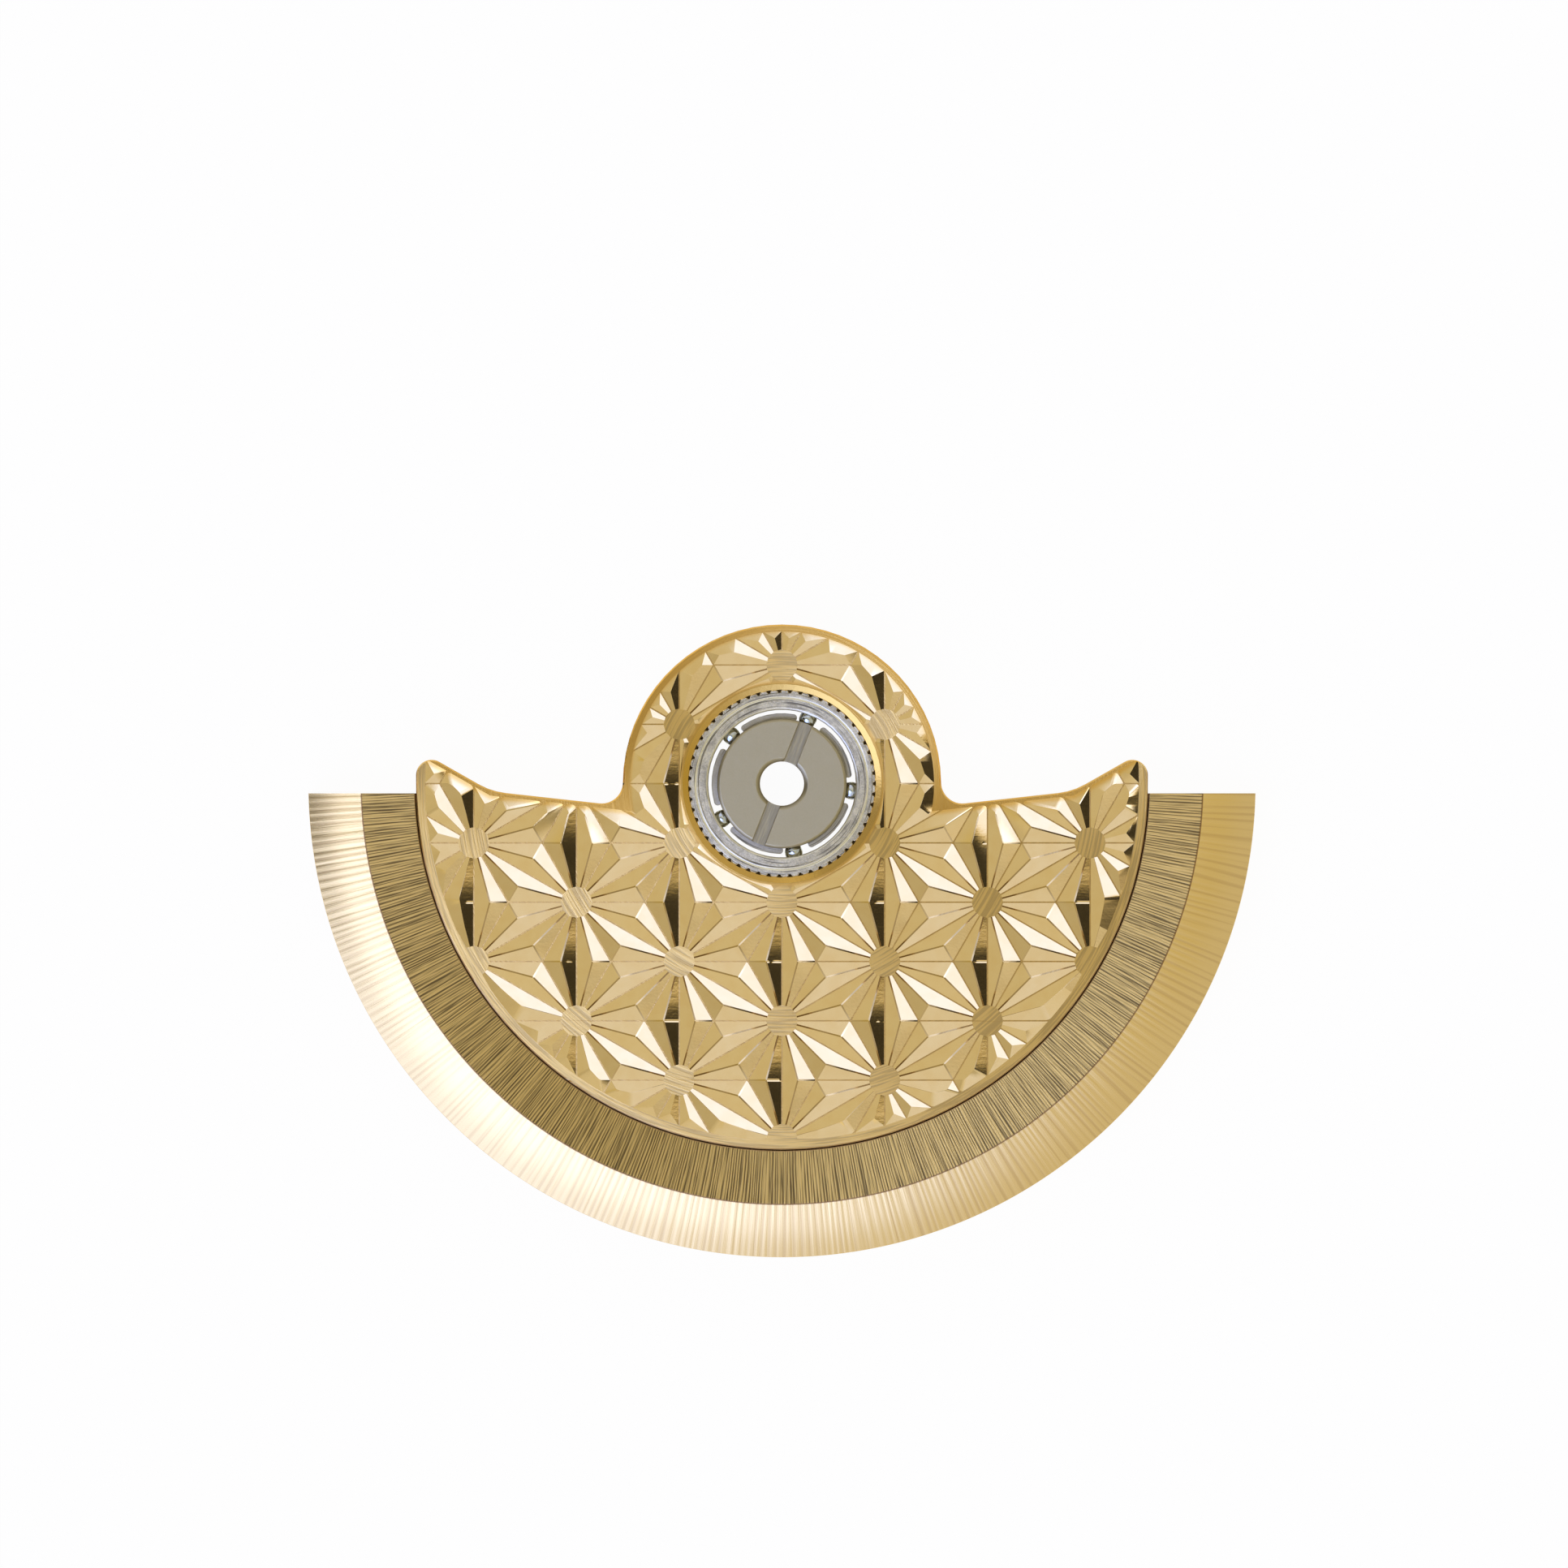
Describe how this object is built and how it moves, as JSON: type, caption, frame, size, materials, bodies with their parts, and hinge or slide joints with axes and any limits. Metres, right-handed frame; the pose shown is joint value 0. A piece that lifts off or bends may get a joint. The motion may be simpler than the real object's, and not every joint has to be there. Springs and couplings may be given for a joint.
{
  "type": "automatic watch rotor",
  "caption": "Half-round winding rotor of a self-winding watch: a gilt plate with a hemp-leaf relief on a heavy rim, swinging on a ball bearing with a slotted screw.",
  "frame": {"origin": "on the swing axis, in the plane where the bearing's inner race sits on the movement's bridge", "axes": "+Z along the swing axis, out of the movement; the heavy rim hangs towards -Y; X across the rim's ends"},
  "size_m": [0.0268, 0.0179, 0.0017],
  "materials": {
    "gilt_relief": "gilt, turned flats and polished facets",
    "gilt_rim": "gilt heavy metal, brushed from the centre outwards",
    "screw_steel": "satin, fine turned lines",
    "ring_steel": "ground, with a bright inner edge",
    "cage_steel": "satin sheet",
    "gear_brass": "gilt, cut teeth",
    "ball_steel": "polished",
    "rivet_steel": "flat polished heads"
  },
  "bodies": {
    "core": {"bearing_screw": "screw_steel", "lower_cone_ring": "ring_steel"},
    "rotor": {"outer_ring": "ring_steel", "race_cover_ring": "ring_steel", "drive_gear": "gear_brass", "rotor_plate": "gilt_relief", "rim_weight": "gilt_rim", "rim_rivet_1": "rivet_steel", "rim_rivet_2": "rivet_steel", "rim_rivet_3": "rivet_steel"},
    "cage": {"ball_cage": "cage_steel"},
    "ball_1": {"ball_1": "ball_steel"},
    "ball_2": {"ball_2": "ball_steel"},
    "ball_3": {"ball_3": "ball_steel"},
    "ball_4": {"ball_4": "ball_steel"},
    "ball_5": {"ball_5": "ball_steel"}
  },
  "joints": [
    {"name": "rotor_spin", "type": "hinge", "parent": "core", "child": "rotor", "pos_m": [0, 0, 0.00055], "axis": [0, 0, 1], "continuous": true},
    {"name": "cage_spin", "type": "hinge", "parent": "core", "child": "cage", "pos_m": [0, 0, 0.00055], "axis": [0, 0, 1], "continuous": true},
    {"name": "ball_1_spin", "type": "hinge", "parent": "cage", "child": "ball_1", "pos_m": [0.00073, 0.00182, 0.00055], "axis": [0, 0, 1], "continuous": true},
    {"name": "ball_2_spin", "type": "hinge", "parent": "cage", "child": "ball_2", "pos_m": [-0.00143, 0.00135, 0.00055], "axis": [0, 0, 1], "continuous": true},
    {"name": "ball_3_spin", "type": "hinge", "parent": "cage", "child": "ball_3", "pos_m": [-0.00169, -0.00099, 0.00055], "axis": [0, 0, 1], "continuous": true},
    {"name": "ball_4_spin", "type": "hinge", "parent": "cage", "child": "ball_4", "pos_m": [0.00033, -0.00193, 0.00055], "axis": [0, 0, 1], "continuous": true},
    {"name": "ball_5_spin", "type": "hinge", "parent": "cage", "child": "ball_5", "pos_m": [0.00195, -0.0002, 0.00055], "axis": [0, 0, 1], "continuous": true}
  ],
  "couplings": [
    {"joint": "cage_spin", "follows": "rotor_spin", "ratio": 0.54552},
    {"joint": "ball_1_spin", "follows": "rotor_spin", "ratio": 5.4468},
    {"joint": "ball_2_spin", "follows": "rotor_spin", "ratio": 5.4468},
    {"joint": "ball_3_spin", "follows": "rotor_spin", "ratio": 5.4468},
    {"joint": "ball_4_spin", "follows": "rotor_spin", "ratio": 5.4468},
    {"joint": "ball_5_spin", "follows": "rotor_spin", "ratio": 5.4468}
  ]
}
